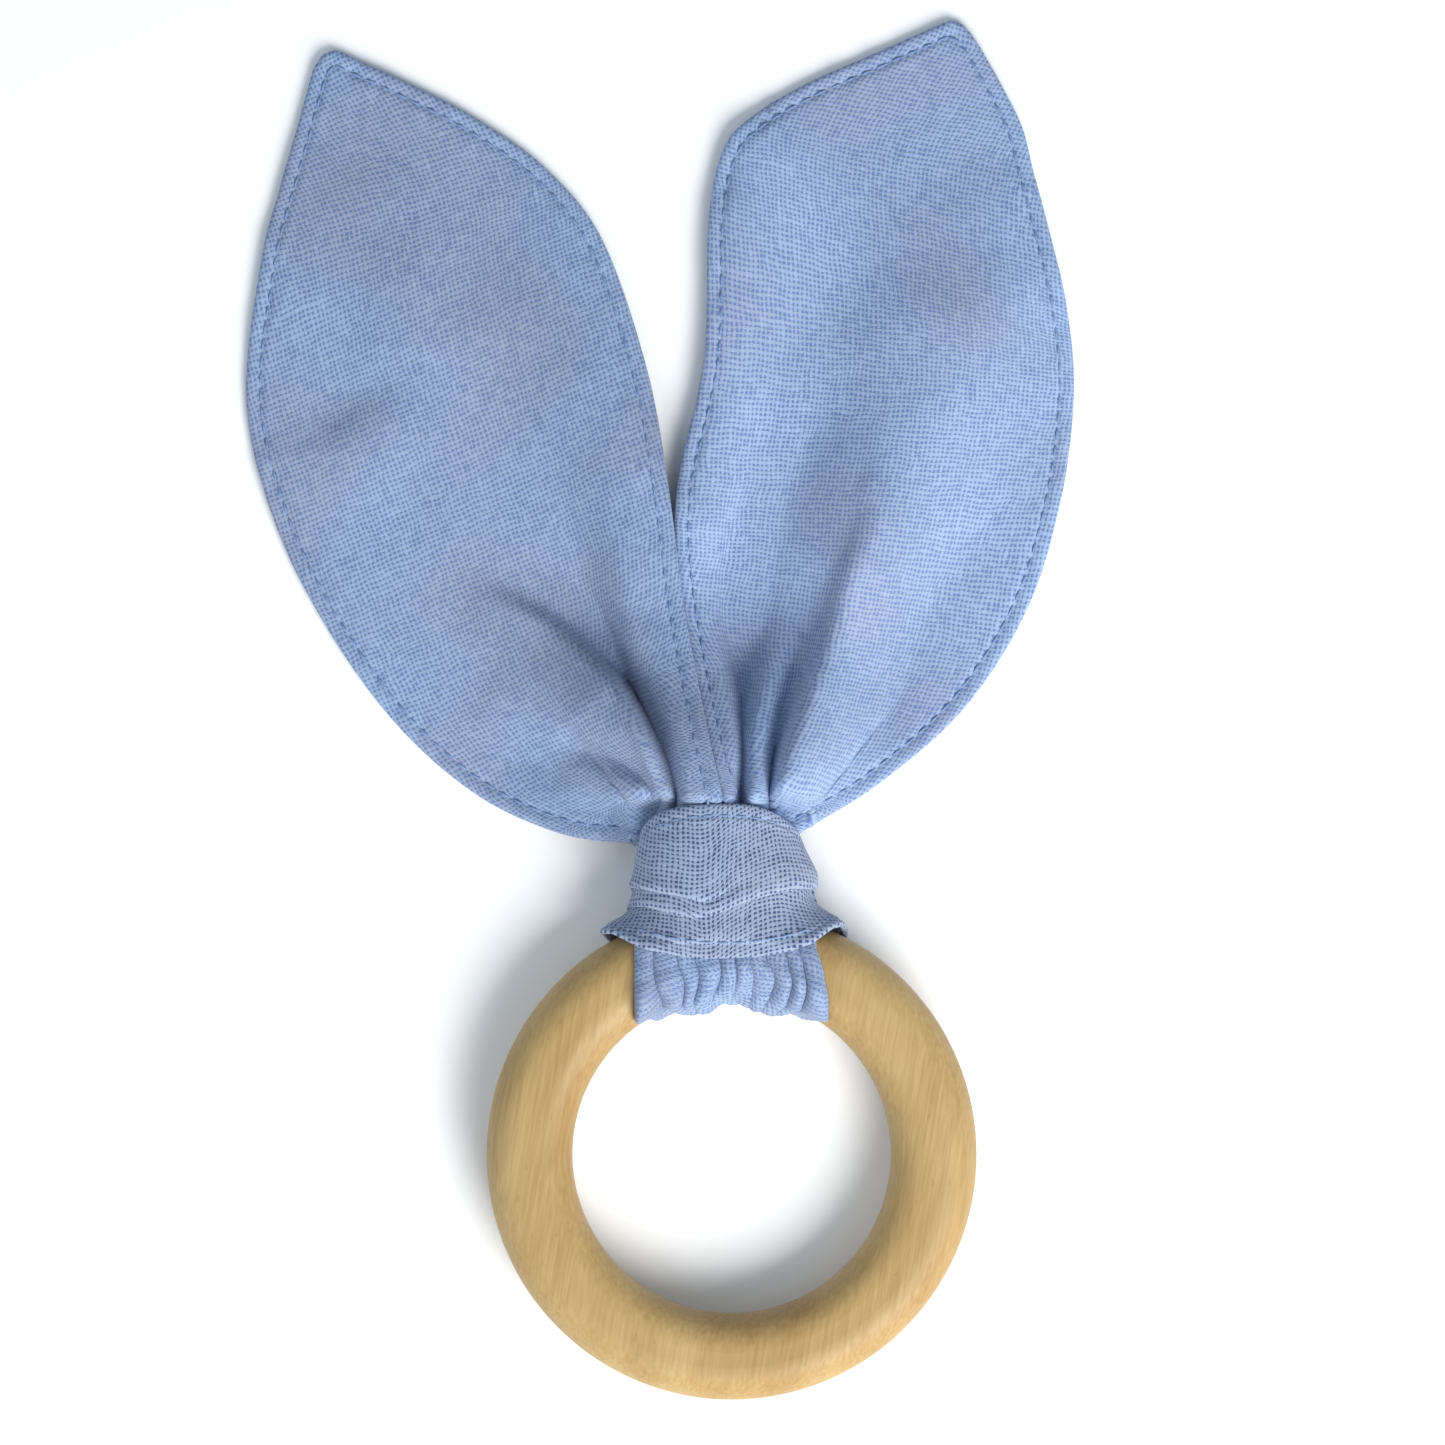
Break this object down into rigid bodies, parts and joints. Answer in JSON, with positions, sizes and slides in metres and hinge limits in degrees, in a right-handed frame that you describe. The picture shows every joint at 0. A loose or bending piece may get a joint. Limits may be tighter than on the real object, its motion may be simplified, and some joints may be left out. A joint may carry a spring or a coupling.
{
  "type": "teething ring",
  "caption": "Wooden ring to chew and grip, with a soft cotton strip tied on by a cow hitch and its ends shaped like rabbit ears.",
  "frame": {"origin": "centre of the wooden ring, half-way through its thickness", "axes": "+Z along the ring's axis, out of the front of the hitch; +Y from the ring's centre through the hitch towards the ears; +X to the right, seen from the front with the ears up"},
  "size_m": [0.1193, 0.1976, 0.0194],
  "materials": {
    "wood": "sanded satin, unvarnished",
    "cotton": "matte open plain weave",
    "thread": "matte spun thread"
  },
  "bodies": {
    "ring": {"wooden_ring": "wood"},
    "hitch": {"band_lower_back_cloth": "cotton", "band_lower_front_cloth": "cotton", "band_lower_topstitch": "thread", "band_upper_back_cloth": "cotton", "band_upper_front_cloth": "cotton", "band_upper_topstitch": "thread", "left_leg_back_cloth": "cotton", "left_leg_front_cloth": "cotton", "left_root_back_allowance": "cotton", "left_root_back_cloth": "cotton", "left_root_back_topstitch": "thread", "left_root_front_allowance": "cotton", "left_root_front_cloth": "cotton", "left_root_front_topstitch": "thread", "left_root_seam": "thread", "left_tail_back_cloth": "cotton", "left_tail_bunched": "cotton", "left_tail_front_cloth": "cotton", "right_leg_back_cloth": "cotton", "right_leg_front_cloth": "cotton", "right_root_back_allowance": "cotton", "right_root_back_cloth": "cotton", "right_root_back_topstitch": "thread", "right_root_front_allowance": "cotton", "right_root_front_cloth": "cotton", "right_root_front_topstitch": "thread", "right_root_seam": "thread", "right_tail_back_cloth": "cotton", "right_tail_bunched": "cotton", "right_tail_front_cloth": "cotton"},
    "left_ear": {"left_ear_back_allowance": "cotton", "left_ear_back_cloth": "cotton", "left_ear_back_topstitch": "thread", "left_ear_front_allowance": "cotton", "left_ear_front_cloth": "cotton", "left_ear_front_topstitch": "thread", "left_ear_seam": "thread"},
    "right_ear": {"right_ear_back_allowance": "cotton", "right_ear_back_cloth": "cotton", "right_ear_back_topstitch": "thread", "right_ear_front_allowance": "cotton", "right_ear_front_cloth": "cotton", "right_ear_front_topstitch": "thread", "right_ear_seam": "thread"}
  },
  "joints": [
    {"name": "hitch_slide", "type": "hinge", "parent": "ring", "child": "hitch", "pos_m": [0, 0, 0], "axis": [0, 0, 1], "continuous": true},
    {"name": "left_ear_flop", "type": "hinge", "parent": "hitch", "child": "left_ear", "pos_m": [0, 0.06, -0.0028], "axis": [1, 0, 0], "range_deg": [0, 100]},
    {"name": "right_ear_flop", "type": "hinge", "parent": "hitch", "child": "right_ear", "pos_m": [0, 0.06, -0.0028], "axis": [1, 0, 0], "range_deg": [0, 100]}
  ]
}
